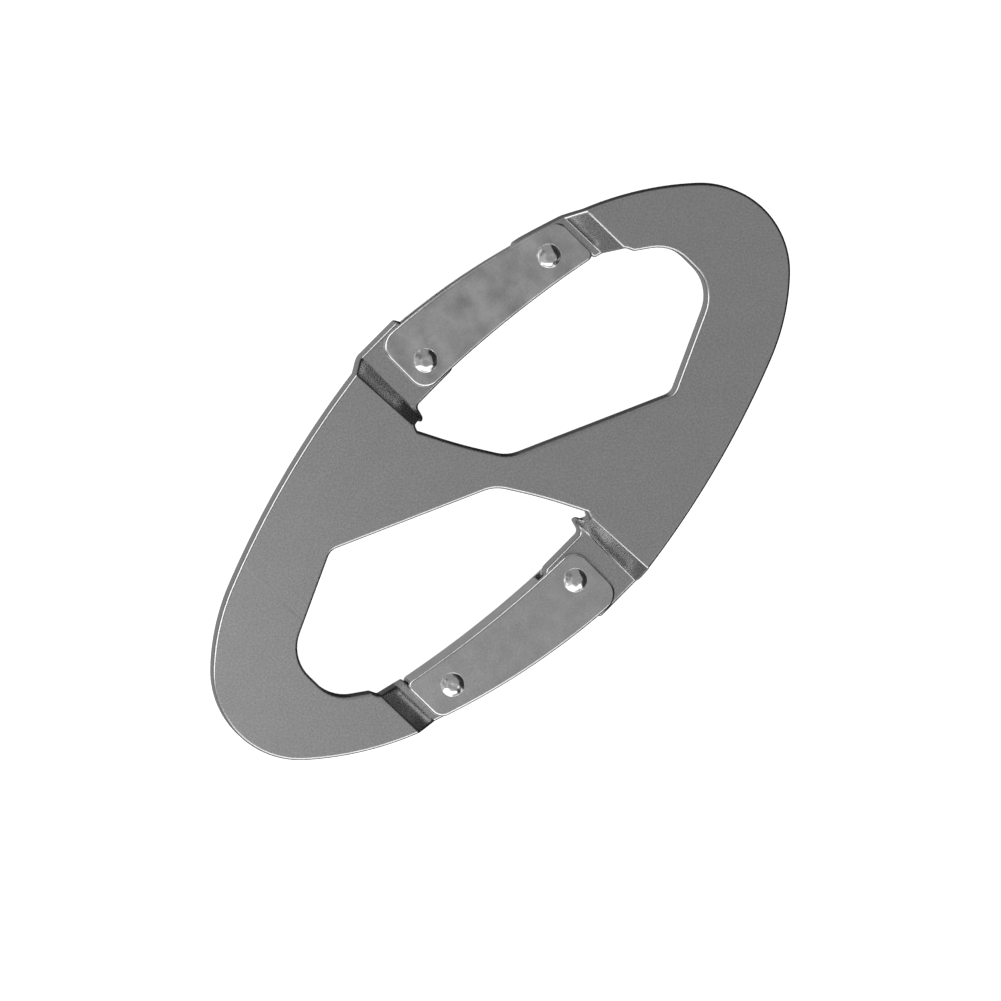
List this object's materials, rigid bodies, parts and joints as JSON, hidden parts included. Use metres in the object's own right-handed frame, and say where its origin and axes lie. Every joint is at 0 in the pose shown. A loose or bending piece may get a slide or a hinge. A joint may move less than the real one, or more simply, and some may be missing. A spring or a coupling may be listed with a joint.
{
  "type": "double-gate plate carabiner",
  "caption": "Flat stamped steel carabiner with an S-shaped body, an eye in each half and a riveted, spring-closed gate on each eye.",
  "frame": {"origin": "on the half-turn symmetry axis through the middle of the bridge between the two eyes, at the height of the back rivet heads that the part rests on", "axes": "+X along the length, towards the eye called right; +Z out of the front face; the right eye's gate is on the +Y side"},
  "size_m": [0.08, 0.039, 0.0058],
  "materials": {
    "plate_steel": "tumbled satin",
    "gate_steel": "tumbled satin",
    "rivet_steel": "polished",
    "spring_steel": "bright drawn"
  },
  "bodies": {
    "frame": {"frame_plate": "plate_steel"},
    "right_gate": {"gate_right": "gate_steel", "pivot_rivet_right": "rivet_steel", "latch_rivet_right": "rivet_steel", "spring_right": "spring_steel"},
    "left_gate": {"gate_left": "gate_steel", "pivot_rivet_left": "rivet_steel", "latch_rivet_left": "rivet_steel", "spring_left": "spring_steel"},
    "right_plunger": {"plunger_right": "spring_steel"},
    "left_plunger": {"plunger_left": "spring_steel"}
  },
  "joints": [
    {"name": "right_gate_hinge", "type": "hinge", "parent": "frame", "child": "right_gate", "pos_m": [0.00256, 0.0144, 0.00252], "axis": [0, 0, -1], "range_deg": [0, 44], "stiffness_Nm_per_rad": 0.03, "springref_deg": -28.65},
    {"name": "left_gate_hinge", "type": "hinge", "parent": "frame", "child": "left_gate", "pos_m": [-0.00256, -0.0144, 0.00252], "axis": [0, 0, -1], "range_deg": [0, 44], "stiffness_Nm_per_rad": 0.03, "springref_deg": -28.65},
    {"name": "right_plunger_slide", "type": "slide", "parent": "right_gate", "child": "right_plunger", "axis": [0.996, -0.089, 0], "range_m": [0, 0.0004], "deforming": ["spring_right"]},
    {"name": "left_plunger_slide", "type": "slide", "parent": "left_gate", "child": "left_plunger", "axis": [-0.996, 0.089, 0], "range_m": [0, 0.0004], "deforming": ["spring_left"]}
  ],
  "couplings": [
    {"joint": "right_plunger_slide", "follows": "right_gate_hinge", "m_per_rad": 0.0005},
    {"joint": "left_plunger_slide", "follows": "left_gate_hinge", "m_per_rad": 0.0005}
  ]
}
